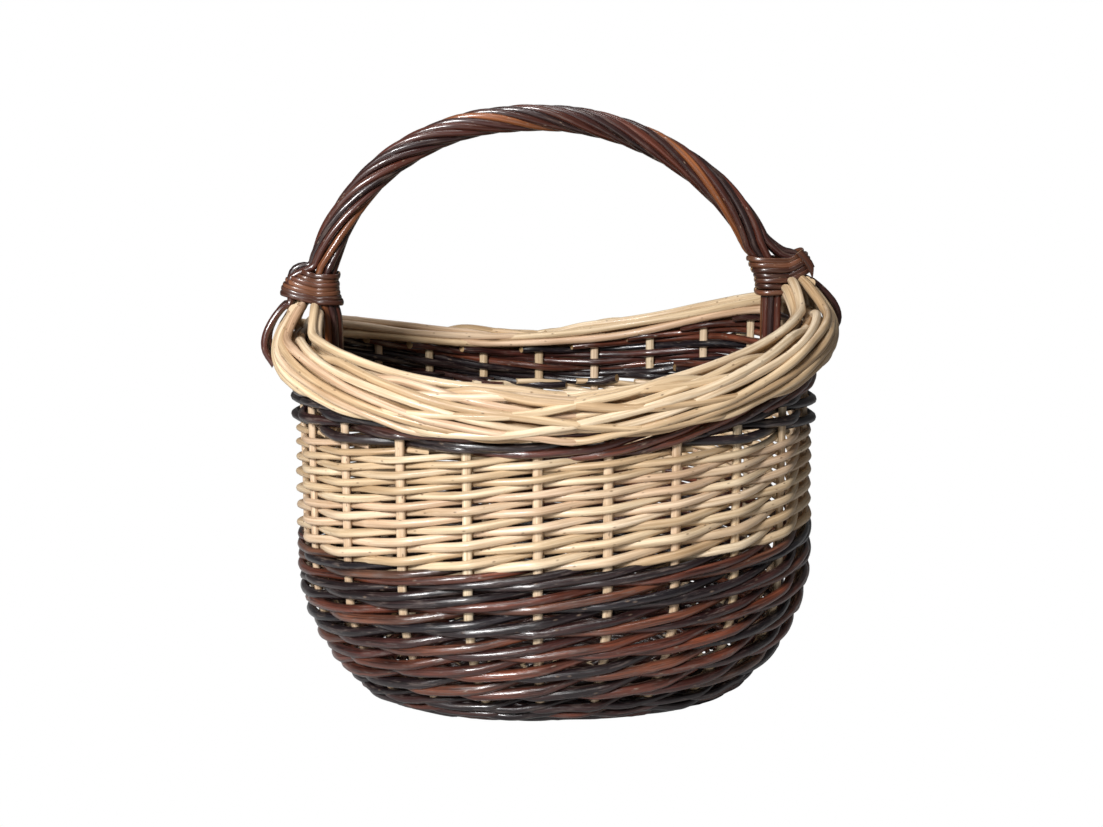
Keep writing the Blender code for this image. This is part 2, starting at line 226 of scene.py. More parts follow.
def smooth(value):
    """Ease from 0 to 1 as value goes from 0 to 1."""
    value = np.clip(value, 0.0, 1.0)
    return value * value * (3 - 2 * value)


def unit(vectors):
    return vectors / np.linalg.norm(vectors, axis=-1, keepdims=True)


def run_length(points):
    """Distance along a polyline at each of its points."""
    return np.concatenate(([0.0], np.cumsum(np.linalg.norm(np.diff(points, axis=0), axis=1))))


def ripple(rng, along, waves=(4, 22), size=1.0, parts=5):
    """Smooth noise along a rod; waves is the range of its wave counts per metre."""
    total = np.zeros(len(along))
    for _ in range(parts):
        total += np.sin(2 * math.pi * rng.uniform(*waves) * along + rng.uniform(0, 2 * math.pi))
    return size * total / math.sqrt(parts)


def knots(rng, along, gap=0.045, width=0.0022, height=0.08):
    """Swellings of a rod where its side shoots were."""
    total = np.zeros(len(along))
    place = rng.uniform(0, gap)
    while place < along[-1]:
        total += height * rng.uniform(0.4, 1.3) * np.exp(-((along - place) / width) ** 2)
        place += gap * rng.uniform(0.6, 1.6)
    return total


def through(points, step):
    """Smooth curve through points, sampled evenly at about the step."""
    points = np.asarray(points, float)
    padded = np.vstack((2 * points[0] - points[1], points, 2 * points[-1] - points[-2]))
    fine = []
    for a, b, c, d in zip(padded, padded[1:], padded[2:], padded[3:]):
        t = np.linspace(0, 1, 12, endpoint=False)[:, None]
        fine.append(0.5 * (2 * b + (c - a) * t + (2 * a - 5 * b + 4 * c - d) * t**2
                           + (3 * b - a - 3 * c + d) * t**3))
    fine = np.vstack(fine + [points[-1:]])
    length = run_length(fine)
    wanted = np.linspace(0, length[-1], max(int(length[-1] / step), 3))
    return np.stack([np.interp(wanted, length, fine[:, axis]) for axis in range(3)], axis=1)


# ---------------------------------------------------------------- wall


def unit_oval(angle, power=OVAL_POWER):
    """Point of the unit oval; angle 0 is the front middle and grows towards +X."""
    x, y = np.sin(angle), -np.cos(angle)
    return np.stack((np.sign(x) * abs(x) ** (2 / power), np.sign(y) * abs(y) ** (2 / power)), axis=-1)


def wall_size(height):
    """Half length and half width of the wall's outer face at a height."""
    below = np.maximum(1 - np.asarray(height, float) / BELLY_HEIGHT, 0.0)[..., None]
    return HALF_SIZE * (1 - FOOT_NARROWING * below ** BELLY_POWER)


OVAL_ANGLES = np.linspace(0, 2 * math.pi, 2881)
OVAL_LENGTH = run_length((HALF_SIZE - STAKE_INSET) * unit_oval(OVAL_ANGLES))


def direction(place):
    """Direction of the unit oval at places counted in stake spacings."""
    share = np.mod(np.asarray(place, float), STAKES) / STAKES
    return unit_oval(np.interp(share * OVAL_LENGTH[-1], OVAL_LENGTH, OVAL_ANGLES))


def rim_height(place):
    """The rim climbs to both handle feet, a little more towards +X."""
    x = direction(place)[..., 0]
    return RIM_MIDDLE + RIM_RISE * x**2 + RIM_TILT * x


def stake_line(place, height):
    """Points of the surface that runs through the stakes' middles."""
    height = np.broadcast_to(height, np.shape(place))
    flat = (wall_size(height) - STAKE_INSET) * direction(place)
    return np.concatenate((flat, height[..., None]), axis=-1)


def wall_frame(place, height):
    """Point between the faces of the wall, and the wall's outward normal there."""
    around = stake_line(place + 0.05, height) - stake_line(place - 0.05, height)
    up = stake_line(place, height + 0.002) - stake_line(place, height - 0.002)
    return stake_line(place, height), unit(np.cross(around, up))


# ---------------------------------------------------------------- rods


def rod(points, radii, up, rng, tone, flat=1.0, sides=ROD_SIDES, slant=(0.7, 0.7), worn=0.03):
    """A rod swept along points; up fixes how its section is turned, and flat thins it that way.

    slant leans the two cut ends, worn is the depth of the rod's unevenness, and tone picks its colour."""
    along = run_length(points)
    radii = radii * (1 + ripple(rng, along, size=worn) + knots(rng, along))
    tangent = unit(np.gradient(points, axis=0))
    side = unit(np.cross(np.broadcast_to(up, points.shape), tangent))
    normal = np.cross(tangent, side)
    angle = np.linspace(0, 2 * math.pi, sides, endpoint=False)
    across = radii[:, None] * np.cos(angle)
    over = radii[:, None] * np.sin(angle)
    ring = points[:, None] + across[..., None] * side[:, None] + flat * over[..., None] * normal[:, None]
    for end, lean, turn in ((0, slant[0], 1), (-1, slant[1], -1)):
        ring[end] += turn * lean * across[end][:, None] * tangent[end]
    grain = np.stack((across, over, np.broadcast_to(along[:, None], across.shape)), axis=-1)
    grain[..., 2] += rng.uniform(0, 50)
    return {"ring": ring, "grain": grain, "tone": tone}


def add_attribute(mesh, name, kind, field, values):
    """Give the mesh an attribute with a value at each vertex."""
    mesh.attributes.new(name, kind, "POINT").data.foreach_set(field, values)


def rod_mesh(name, rods):
    """One mesh for a list of rods, with the attributes that the materials read."""
    verts, faces, grains, tones, cuts = [], [], [], [], []
    base = 0
    for item in rods:
        ring, grain = item["ring"], item["grain"]
        count, sides = ring.shape[:2]
        index = base + np.arange(count * sides).reshape(count, sides)
        nxt = np.roll(index, -1, axis=1)
        quads = np.stack((index[:-1], nxt[:-1], nxt[1:], index[1:]), axis=-1).reshape(-1, 4)
        faces += quads.tolist()
        verts.append(ring.reshape(-1, 3))
        grains.append(grain.reshape(-1, 3))
        cuts.append(np.zeros(count * sides))
        base += count * sides
        for end, turn in ((0, 1), (-1, -1)):
            verts.append(ring[end])
            grains.append(grain[end])
            cuts.append(np.ones(sides))
            faces.append(list(range(base, base + sides))[::-turn])
            base += sides
        tones.append(np.full(count * sides + 2 * sides, item["tone"]))
    mesh = bpy.data.meshes.new(name)
    mesh.from_pydata(np.vstack(verts).tolist(), [], faces)
    add_attribute(mesh, "grain", "FLOAT_VECTOR", "vector", np.vstack(grains).ravel())
    add_attribute(mesh, "tone", "FLOAT", "value", np.concatenate(tones))
    add_attribute(mesh, "cut", "FLOAT", "value", np.concatenate(cuts))
    mesh.shade_smooth()
    return mesh


def piece(name, rods, material, slot, *nodes):
    """A visible piece made of rods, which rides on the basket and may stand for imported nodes."""
    item = bpy.data.objects.new(name, rod_mesh(name, rods))
    item.data.materials.append(material)
    bpy.context.scene.collection.objects.link(item)
    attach(item, "root")
    if nodes:
        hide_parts(*nodes)
    return item


# ---------------------------------------------------------------- materials


def new_material(name):
    """A material, its node tree and its shader."""
    material = bpy.data.materials.new(name)
    material.use_nodes = True
    tree = material.node_tree
    return material, tree, tree.nodes["Principled BSDF"]


def node(tree, kind, **values):
    """A new node; each value goes to the input of that name or else to the node's own property."""
    made = tree.nodes.new(kind)
    for key, value in values.items():
        if key in made.inputs:
            made.inputs[key].default_value = value
        else:
            setattr(made, key, value)
    return made


def attribute(tree, name):
    return node(tree, "ShaderNodeAttribute", attribute_name=name, attribute_type="GEOMETRY")


def ramp(tree, factor, stops):
    """Colour ramp with a (place, colour) pair for each stop."""
    made = tree.nodes.new("ShaderNodeValToRGB")
    elements = made.color_ramp.elements
    while len(elements) < len(stops):
        elements.new(0.5)
    for element, (place, color) in zip(elements, stops):
        element.position = place
        element.color = (*color, 1.0)
    tree.links.new(factor, made.inputs["Fac"])
    return made.outputs["Color"]


def grey(value):
    return (value, value, value)


def mix(tree, kind, factor, first, second):
    """Mix of two colours; the factor and the colours may be sockets or values."""
    made = tree.nodes.new("ShaderNodeMix")
    made.data_type = "RGBA"
    made.blend_type = kind
    for socket, value in ((made.inputs[0], factor), (made.inputs[6], first), (made.inputs[7], second)):
        if isinstance(value, bpy.types.NodeSocket):
            tree.links.new(value, socket)
        elif isinstance(value, tuple):
            socket.default_value = (*value, 1.0)
        else:
            socket.default_value = value
    return made.outputs[2]


def grain_noise(tree, grain, scale, detail, roughness=0.55):
    """Noise in the rod's own space: two scales across the rod, one along it."""
    stretch = node(tree, "ShaderNodeMapping", Scale=scale)
    tree.links.new(grain, stretch.inputs["Vector"])
    made = node(tree, "ShaderNodeTexNoise", Scale=1.0, Detail=detail, Roughness=roughness)
    tree.links.new(stretch.outputs["Vector"], made.inputs["Vector"])
    return made.outputs["Fac"]


def grain_spots(tree, grain, scale, edge):
    """Scattered spots, 1 at their middles and 0 between them."""
    stretch = node(tree, "ShaderNodeMapping", Scale=scale)
    tree.links.new(grain, stretch.inputs["Vector"])
    cells = node(tree, "ShaderNodeTexVoronoi", Scale=1.0, Randomness=1.0)
    tree.links.new(stretch.outputs["Vector"], cells.inputs["Vector"])
    return ramp(tree, cells.outputs["Distance"], ((0.0, grey(1.0)), (edge, grey(0.0))))


def willow(name, tones, streak, patch, scuff, spot, rough, coat, bump, end_color):
    """Willow: a tone for each rod, streaks and patches along it, scuffs, spots, and plain cut ends.

    streak and patch are (scale, dark, light), scuff is (scale, most, colour), and spot is (scale,
    edge, colour)."""
    material, tree, shader = new_material(name)
    grain = attribute(tree, "grain").outputs["Vector"]
    tone = attribute(tree, "tone").outputs["Fac"]
    cut = attribute(tree, "cut").outputs["Fac"]
    color = ramp(tree, tone, tones)
    broad = grain_noise(tree, grain, patch[0], detail=2.0)
    color = mix(tree, "MULTIPLY", 1.0, color, ramp(tree, broad, ((0.3, patch[1]), (0.7, patch[2]))))
    fine = grain_noise(tree, grain, streak[0], detail=4.0)
    color = mix(tree, "MULTIPLY", 1.0, color, ramp(tree, fine, ((0.3, streak[1]), (0.7, streak[2]))))
    worn = grain_noise(tree, grain, scuff[0], detail=5.0, roughness=0.7)
    worn = ramp(tree, worn, ((0.54, grey(0.0)), (0.66, grey(scuff[1]))))
    color = mix(tree, "MIX", worn, color, scuff[2])
    marks = grain_spots(tree, grain, spot[0], spot[1])
    color = mix(tree, "MIX", marks, color, spot[2])
    color = mix(tree, "MIX", cut, color, end_color)
    tree.links.new(color, shader.inputs["Base Color"])
    shader.inputs["Roughness"].default_value = rough
    shader.inputs["Coat Weight"].default_value = coat
    shader.inputs["Coat Roughness"].default_value = 0.08
    height = mix(tree, "ADD", 0.6, fine, marks)
    relief = node(tree, "ShaderNodeBump", Strength=bump, Distance=0.0006)
    tree.links.new(height, relief.inputs["Height"])
    tree.links.new(relief.outputs["Normal"], shader.inputs["Normal"])
    return material


def make_materials():
    """The four kinds of willow: peeled buff, dark, the handle's redder rods, and split skein."""
    return {
        "buff": willow(
            "buff_willow_rods",
            ((0.0, (0.58, 0.42, 0.26)), (0.35, (0.72, 0.58, 0.40)), (0.7, (0.83, 0.71, 0.54)),
             (1.0, (0.72, 0.53, 0.39))),
            ((520, 520, 18), (0.58, 0.50, 0.41), (1.12, 1.12, 1.12)),
            ((60, 60, 9), (0.78, 0.70, 0.61), (1.10, 1.10, 1.08)),
            ((240, 240, 30), 0.35, (0.50, 0.33, 0.19)),
            ((200, 200, 90), 0.15, (0.10, 0.045, 0.02)), 0.42, 0.12, 0.45, (0.48, 0.35, 0.21)),
        "dark": willow(
            "dark_willow_rods",
            ((0.0, (0.005, 0.005, 0.008)), (0.3, (0.013, 0.008, 0.009)), (0.55, (0.036, 0.012, 0.010)),
             (0.8, (0.085, 0.029, 0.016)), (1.0, (0.050, 0.034, 0.024))),
            ((600, 600, 26), (0.28, 0.26, 0.30), (2.10, 1.95, 1.80)),
            ((70, 70, 14), (0.40, 0.38, 0.48), (1.80, 1.55, 1.40)),
            ((420, 420, 60), 0.55, (0.15, 0.115, 0.10)),
            ((170, 170, 70), 0.16, (0.20, 0.14, 0.10)), 0.30, 0.40, 1.0, (0.42, 0.27, 0.13)),
        "handle": willow(
            "handle_willow_rods",
            ((0.0, (0.016, 0.010, 0.011)), (0.4, (0.038, 0.013, 0.011)), (0.75, (0.075, 0.022, 0.013)),
             (1.0, (0.20, 0.075, 0.028))),
            ((500, 500, 16), (0.52, 0.48, 0.48), (1.5, 1.45, 1.4)),
            ((60, 60, 10), (0.60, 0.55, 0.55), (1.45, 1.35, 1.25)),
            ((420, 420, 50), 0.40, (0.17, 0.11, 0.085)),
            ((260, 260, 90), 0.14, (0.30, 0.22, 0.16)), 0.30, 0.45, 0.6, (0.45, 0.28, 0.14)),
        "skein": willow(
            "binding_skein",
            ((0.0, (0.035, 0.014, 0.010)), (0.5, (0.075, 0.028, 0.017)), (1.0, (0.13, 0.054, 0.028))),
            ((700, 700, 20), (0.55, 0.50, 0.48), (1.45, 1.4, 1.35)),
            ((60, 60, 14), (0.65, 0.60, 0.55), (1.4, 1.35, 1.3)),
            ((500, 500, 60), 0.40, (0.20, 0.12, 0.08)),
            ((260, 260, 90), 0.10, (0.32, 0.2, 0.12)), 0.30, 0.30, 0.5, (0.45, 0.28, 0.14)),
    }


# ---------------------------------------------------------------- woven bands


WALL_HEIGHTS = np.linspace(0.0, 0.30, 601)
WALL_LENGTHS = run_length(stake_line(np.zeros(601), WALL_HEIGHTS))


def zigzag(place):
    """Wave from 1 at even numbers to -1 at odd ones, with long straight flanks."""
    return np.arcsin(0.96 * np.cos(math.pi * place)) / math.asin(0.96)


def over_one(stroke):
    """Behind the first stake, in front of the next, and so on: -1 is inside and 1 is outside."""
    return -zigzag(stroke)


def over_two(stroke):
    """Behind one stake and in front of two."""
    turn = np.mod(stroke, 3)
    flank = -zigzag(np.minimum(np.minimum(turn, 3 - turn), 1.0))
    return flank + 0.12 * np.sin(math.pi * np.clip(turn - 1, 0, 1))


def rod_ends(stroke, rows):
    """1 at a rod's two ends, which are pressed in behind their stakes, and 0 between them."""
    return np.maximum(smooth(1 - (stroke + 0.35) / 0.6), smooth(1 - (rows + 0.35 - stroke) / 0.6))


def randed_rods(rng, rows, radii, low, high, pattern):
    """A rod starts behind every stake, and rises one row for each stake that it passes.

    low and high give the band's edges at a place. Returns the rods' middles and radii."""
    rods = []
    for number in range(STAKES):
        stroke = np.arange(-4 - rng.integers(0, 3), rows * STEPS + 4 + rng.integers(0, 3)) / STEPS
        place = number + 0.5 + stroke
        held = np.clip(stroke, -0.1, rows + 0.1)
        size = np.interp(held, (0, rows), radii) * rng.uniform(0.95, 1.05)
        risen = radii[0] * held + (radii[1] - radii[0]) * held**2 / (2 * rows)
        share = risen / ((radii[0] + radii[1]) / 2 * rows)
        bottom = np.interp(low(place), WALL_HEIGHTS, WALL_LENGTHS) + radii[0]
        top = np.interp(high(place), WALL_HEIGHTS, WALL_LENGTHS) - radii[1]
        length = bottom + (top - bottom) * share + ripple(rng, place * STAKE_SPACING, size=0.00028)
        point, normal = wall_frame(place, np.interp(length, WALL_LENGTHS, WALL_HEIGHTS))
        size = size * ROD_FILL
        out = pattern(stroke) * (STAKE_RADIUS * STAKE_FLAT + size) * WEAVE_DEPTH
        out -= END_TUCK * rod_ends(stroke, rows)
        out += ripple(rng, place * STAKE_SPACING, size=0.00022)
        rods.append((point + out[:, None] * normal, size))
    return rods


def make_band(name, rods, rng, tones, material, slot, cad_node):
    """One piece for each rod of a band; the first stands for the band's solid."""
    for number, (points, size) in enumerate(rods, 1):
        made = rod(points, size, (0, 0, 1), rng, float(rng.uniform(*tones)))
        cad = (cad_node,) if number == 1 else ()
        piece(f"{name}_{number:02d}", [made], material, slot, *cad)


def foot_strand(strand, rng):
    """Middles and radii of one strand: it drops as it passes behind a stake and climbs in front."""
    start = FOOT_START + strand
    place = np.arange(round(FOOT_TURNS * TURN) + 1) / STEPS + start
    stroke = np.mod(place - 0.5 - strand, FOOT_STRANDS)
    swing = np.interp(stroke, (0, 0.5, 2.5, 3), (0.0, -0.5, 0.5, 0.0))
    swing = 0.42 * np.convolve(swing, np.ones(7) / 7, "same")
    along = FOOT_LOWEST + FOOT_PITCH * ((place - FOOT_START) / STAKES + swing)
    size = FOOT_RADIUS + 0.0004 * np.sin(place * 0.23 + strand)
    point, normal = wall_frame(place, np.maximum(along * FOOT_SLOPE, 0.0033))
    out = over_two(stroke) * (STAKE_RADIUS * STAKE_FLAT + size) * 0.9
    out = out + ripple(rng, place * STAKE_SPACING, size=0.0007)
    points = point + out[:, None] * normal
    points[:, 2] += ripple(rng, place * STAKE_SPACING, size=0.0006)
    points[:, 2] = np.maximum(points[:, 2], size + 0.0002)
    return points, size


def make_foot(materials):
    """Three-rod wale at the foot: each strand is joined from rods that overlap a little."""
    for strand in range(FOOT_STRANDS):
        rng = np.random.default_rng(40 + strand)
        points, size = foot_strand(strand, rng)
        breaks = np.linspace(0, len(points) - 1, FOOT_PARTS + 1).astype(int)
        for part, (first, last) in enumerate(zip(breaks, breaks[1:]), 1):
            reach = slice(max(first - 3, 0), last + 4)
            made = rod(points[reach], size[reach], (0, 0, 1), rng, float(rng.uniform(0.05, 0.75)))
            cad = ("foot_wale",) if strand == 0 and part == 1 else ()
            piece(f"foot_wale_rod_{strand + 1}_{part}", [made], materials["dark"], "dark_willow", *cad)


def level_edge(height, tilt=0.0):
    """Edge of a band: level, or a little higher towards +X."""
    return lambda place: height + tilt * direction(place)[..., 0]


def make_siding(materials):
    """The dark and buff bands of the wall, one on the other."""
    rng = np.random.default_rng(11)
    dark = randed_rods(rng, DARK_ROWS, DARK_RADII, level_edge(FOOT_TOP - FOOT_OVERLAP),
                       level_edge(DARK_TOP + BAND_OVERLAP, BAND_TILT), over_two)
    make_band("dark_weaver", dark, rng, (0.0, 1.0), materials["dark"], "dark_willow", "dark_siding")
    rng = np.random.default_rng(21)
    buff = randed_rods(rng, BUFF_ROWS, BUFF_RADII, level_edge(DARK_TOP - BAND_OVERLAP, BAND_TILT),
                       level_edge(BUFF_TOP + BAND_OVERLAP), over_one)
    make_band("buff_weaver", buff, rng, (0.0, 1.0), materials["buff"], "buff_willow", "buff_siding")


def packing_radius(reach, away):
    """Radius of a packing rod, away being the distance from the handle in stakes."""
    return PACKING_RADIUS * smooth((reach - away) / PACKING_TAPER)


def packing_height(place):
    """Height that the packing rods add to the wall towards the handle's feet."""
    total = np.zeros(np.shape(place))
    for side, rods in PACKING.items():
        away = np.abs(np.mod(place - side * HANDLE_STAKE + STAKES / 2, STAKES) - STAKES / 2)
        for reach in rods:
            total += 2 * packing_radius(reach, away)
    return total


def make_packing(materials):
    """Short thick rods woven at the handle's ends, so that the wall rises to the border."""
    for side, name in ((-1, "left"), (1, "right")):
        rng = np.random.default_rng(70 + side)
        below = np.zeros(TURN)
        for number, reach in enumerate(PACKING[side], 1):
            offset = np.arange(round(-reach * STEPS), round(reach * STEPS) + 1) / STEPS
            place = offset + side * HANDLE_STAKE
            size = packing_radius(reach, abs(offset))
            cells = np.mod(np.round(place * STEPS).astype(int), TURN)
            height = BUFF_TOP + BAND_OVERLAP + below[cells] + size
            below[cells] += 2 * size
            kept = size > PACKING_THINNEST
            point, normal = wall_frame(place[kept], height[kept])
            out = over_one(place[kept] - 0.5 + number) * (STAKE_RADIUS * STAKE_FLAT + size[kept])
            points = point + out[:, None] * normal
            made = rod(points, size[kept], (0, 0, 1), rng, float(rng.uniform(0, 0.5)))
            piece(f"packing_rod_{name}_{number}", [made], materials["dark"], "dark_willow")


def make_top(materials):
    """Dark rows that close the wall under the border."""
    rng = np.random.default_rng(31)
    rods = randed_rods(rng, TOP_ROWS, TOP_RADII,
                       lambda place: BUFF_TOP - BAND_OVERLAP + packing_height(place),
                       lambda place: rim_height(place) - TOP_DEPTH, over_two)
    make_band("top_weaver", rods, rng, (0.0, 0.85), materials["dark"], "dark_willow", "top_wale")


# ---------------------------------------------------------------- stakes and base


BASE_EDGE = wall_size(0.0) - WALL


def stake_path(place):
    """A stake comes out of the base, bends up and follows the wall's middle into the border."""
    heading = direction(place)
    flat = [np.array((*(BASE_EDGE * reach * heading), STAKE_BASE_LEVEL)) for reach in STAKE_BASE_REACH]
    bend = [np.array((*(BASE_EDGE * STAKE_BEND_REACH * heading), BASE_LEVEL))]
    top = float(rim_height(place)) - STAKE_TIP_DEPTH
    levels = np.concatenate((STAKE_LEVELS, np.linspace(BELLY_HEIGHT, top, 6)))
    rise = [stake_line(np.array(place), np.array(level)) for level in levels]
    return through(flat + bend + rise, ROD_STEP)


def make_stakes(materials):
    """A flattened rod for each stake."""
    for number in range(STAKES):
        rng = np.random.default_rng(100 + number)
        points = stake_path(number + 0.5)
        out = np.array((*direction(number + 0.5), 0.0))
        radii = np.full(len(points), STAKE_RADIUS)
        made = rod(points, radii, out, rng, float(rng.uniform(0.35, 0.9)), flat=STAKE_FLAT)
        piece(f"stake_{number + 1:02d}_rod", [made], materials["buff"], "buff_willow",
              f"stake_{number + 1:02d}")


def base_height(x, y):
    """The base is slightly domed, so that the basket stands on its rim."""
    return BASE_LEVEL + BASE_DOME * np.maximum(1 - (x / BASE_EDGE[0]) ** 2 - (y / BASE_EDGE[1]) ** 2, 0.0)


def make_base_sticks(materials):
    """Slath: long sticks crossed by short ones, each along the middle of its packed stick."""
    for kind, (count, radius) in BASE_STICKS.items():
        for number in range(1, count + 1):
            name = f"base_stick_{kind}_{number}"
            low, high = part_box(name)
            rng = np.random.default_rng(200 + 50 * (kind == "cross") + number)
            middle_x, middle_y = (low.x + high.x) / 2, (low.y + high.y) / 2
            ends = np.array(((low.x, middle_y), (high.x, middle_y)))
            if kind == "cross":
                ends = np.array(((middle_x, low.y), (middle_x, high.y)))
            path = [ends[0] + (ends[1] - ends[0]) * share for share in np.linspace(0, 1, 7)]
            points = through([(x, y, base_height(x, y)) for x, y in path], ROD_STEP)
            made = rod(points, np.full(len(points), radius), (0, 0, 1), rng, 0.5)
            piece(f"{name}_rod", [made], materials["buff"], "buff_willow", name)


def make_base_weave(materials):
    """Thin rods that follow one another in a spiral, over and under the sticks."""
    growth = BASE_EDGE + BASE_OVERHANG - BASE_INNER
    for part in range(BASE_WEAVERS):
        rng = np.random.default_rng(61 + part)
        first, last = part * BASE_RINGS, (part + 1) * BASE_RINGS
        turn = np.arange(first, last + 0.01, BASE_WEAVERS / BASE_STEPS) / BASE_WEAVERS
        heading = direction(turn * STAKES)
        flat = (BASE_INNER + growth * (turn / BASE_RINGS)[:, None]) * heading
        radii = 0.5 * np.abs(heading) @ growth / BASE_RINGS * BASE_FILL
        wave = BASE_WAVE * np.cos(math.pi * (turn * BASE_STROKES + 0.5))
        level = np.maximum(base_height(flat[:, 0], flat[:, 1]) + wave, radii + 0.0004)
        points = np.concatenate((flat, level[:, None]), axis=1)
        made = rod(points, radii, (0, 0, 1), rng, float(rng.uniform(0.1, 0.7)), sides=8)
        cad = ("base_weave",) if part == 0 else ()
        piece(f"base_weaver_{part + 1}", [made], materials["dark"], "dark_willow", *cad)


# ---------------------------------------------------------------- border


BORDER_CURVE = through(np.column_stack((BORDER_PATH, np.zeros(len(BORDER_PATH)))), 0.0008)[:, :2]
BORDER_CURVE_SHARE = np.linspace(0, 1, len(BORDER_CURVE))


def border_point(place, share, lift=0.0):
    """Point of the border's skin: share runs from the inner lip over the top to the outer edge."""
    out = np.interp(share, BORDER_CURVE_SHARE, BORDER_CURVE[:, 0])
    up = np.interp(share, BORDER_CURVE_SHARE, BORDER_CURVE[:, 1])
    out_slope = np.interp(share, BORDER_CURVE_SHARE, np.gradient(BORDER_CURVE[:, 0]))
    up_slope = np.interp(share, BORDER_CURVE_SHARE, np.gradient(BORDER_CURVE[:, 1]))
    size = np.hypot(out_slope, up_slope)
    out = out - lift * up_slope / size
    up = up + lift * out_slope / size
    flat = (HALF_SIZE + out[..., None]) * direction(place)
    return np.concatenate((flat, (rim_height(place) + up)[..., None]), axis=-1)


def crossing_lift(local, start, number):
    """Over and under between the two families that meet in the middle of a long side."""
    lift = np.zeros(len(local))
    for other, partner in enumerate(BORDER_STARTS):
        meet = (start - partner) / 2
        if abs(meet) < CROSSING_REACH:
            sign = 1 if (number + other) % 2 else -1
            lift += sign * CROSSING_LIFT * smooth(1 - abs(local - meet) / CROSSING_WIDTH)
    return lift


def waver(size_and_pace, local, phase):
    """Slow wave of a rod to both sides of its course; the pace is in waves for each stake spacing."""
    size, pace = size_and_pace
    return size * np.sin(2 * math.pi * (pace * local + phase))


def tuck(depth_and_length, away):
    """How deep a rod is pressed in, away being the distance from its end."""
    depth, length = depth_and_length
    return depth * smooth(1 - away / length)


def near_middle(local):
    """0 towards the handle's foot and 1 in the middle of a long side, where the quarters meet."""
    return smooth((local + MIDDLE_START) / MIDDLE_BLEND)


def fan_begin(fan):
    """Place where a fanned rod comes out from under the binding: a later rod begins further back."""
    return -HANDLE_STAKE - 0.27 + 0.12 * min(max(5.2 - fan, -0.6), 4.0)


def fan_open(away, fan):
    """Share of its spread that a fanned rod has reached, away being the distance from its start."""
    return 0.2 + 0.8 * smooth(away / (0.6 + 0.20 * min(fan, 4.0)))


def gather(points, local):
    """Draw a rod's start up and in, under the binding at the handle's foot."""
    share = smooth(1 - (local - local[0]) / GATHER_REACH)[:, None]
    return points * (1 - GATHER_IN * share * (1, 1, 0)) + share * (0.0, 0.0, GATHER_UP)


def border_rod(number, start, side, rng):
    """One rod of a quarter of the border, in places local to its half: negative before the middle.

    Rods that would start beyond the handle's foot fan out from under its binding instead. Every
    second rod is carried on past the middle, over and under its partners of the other quarter."""
    fan = max(BORDER_FOOT - start, 0.0)
    carried = number % 2 == 0
    stop = (CARRIED_STOP if carried else LYING_STOP) + rng.uniform(-0.4, 0.4)
    end = min(start + (BORDER_END - BORDER_START) / BORDER_RUN, stop)
    begin = fan_begin(fan) if fan else start
    local = np.linspace(begin, end, max(int((end - begin) * 14), 8))
    share = BORDER_START + BORDER_RUN * (local - start)
    if fan:
        share = BORDER_START + (share - BORDER_START) * fan_open(local - begin, fan)
    share += waver(BORDER_WAVER, local, 0.5 * number)
    share += ripple(rng, local * STAKE_SPACING, waves=(3, 12), size=0.004)
    lift = crossing_lift(local, start, number) if carried else -LYING_DEPTH * near_middle(local)
    lift -= tuck(BORDER_END_TUCK, end - local)
    if not fan:
        lift -= tuck(BORDER_START_TUCK, local - begin)
    lift += ripple(rng, local * STAKE_SPACING, size=0.0003)
    points = border_point(border_place(local, side), np.clip(share, 0.0, BORDER_END), lift)
    if fan:
        points = gather(points, local)
    points = through(points[::3], FINE_STEP)
    taper = np.linspace(0, 1, len(points))
    radii = (BORDER_BUTT - BORDER_TAPER * taper**1.3) * rng.uniform(0.90, 1.06)
    return rod(points, radii, (0, 0, 1), rng, float(rng.uniform(0, 1)), sides=FINE_SIDES, worn=FINE_WORN)


def border_place(local, side):
    """Place round the rim; side is 1 or -1 on the front and 2 or -2 on the back, by direction."""
    return side * local if abs(side) == 1 else STAKES / 2 + side / 2 * local


def lip_rod(number, side, rng):
    """A long rod of the border's inner lip, from a foot to just past the middle."""
    local = np.linspace(BORDER_FOOT, 1.3 - 0.9 * number + 0.5 * (side > 0), 90)
    share = LIP_START + LIP_SPACING * number + 0.012 * (local + HANDLE_STAKE) / 2
    share += waver(LIP_WAVER, local, 0.5 * number + 0.25 * (side > 0))
    lift = (LIP_LIFT if side > 0 else -LIP_LIFT) * near_middle(local)
    lift = lift - tuck(LIP_END_TUCK, local[-1] - local)
    points = gather(border_point(border_place(local, side), share, lift), local)
    points = through(points[::3], FINE_STEP)
    radii = np.linspace(*LIP_RADII, len(points))
    return rod(points, radii, (0, 0, 1), rng, float(rng.uniform(0.2, 1)), sides=FINE_SIDES, worn=FINE_WORN)


def core_rod(share, rng):
    """A rod hidden under the border's skin, which goes all round."""
    place = np.linspace(0, STAKES, 3 * STAKES)
    points = through(border_point(place, np.full(len(place), share), -CORE_DEPTH), ROD_STEP)
    return rod(points, np.full(len(points), CORE_RADIUS), (0, 0, 1), rng, 0.0, sides=8)


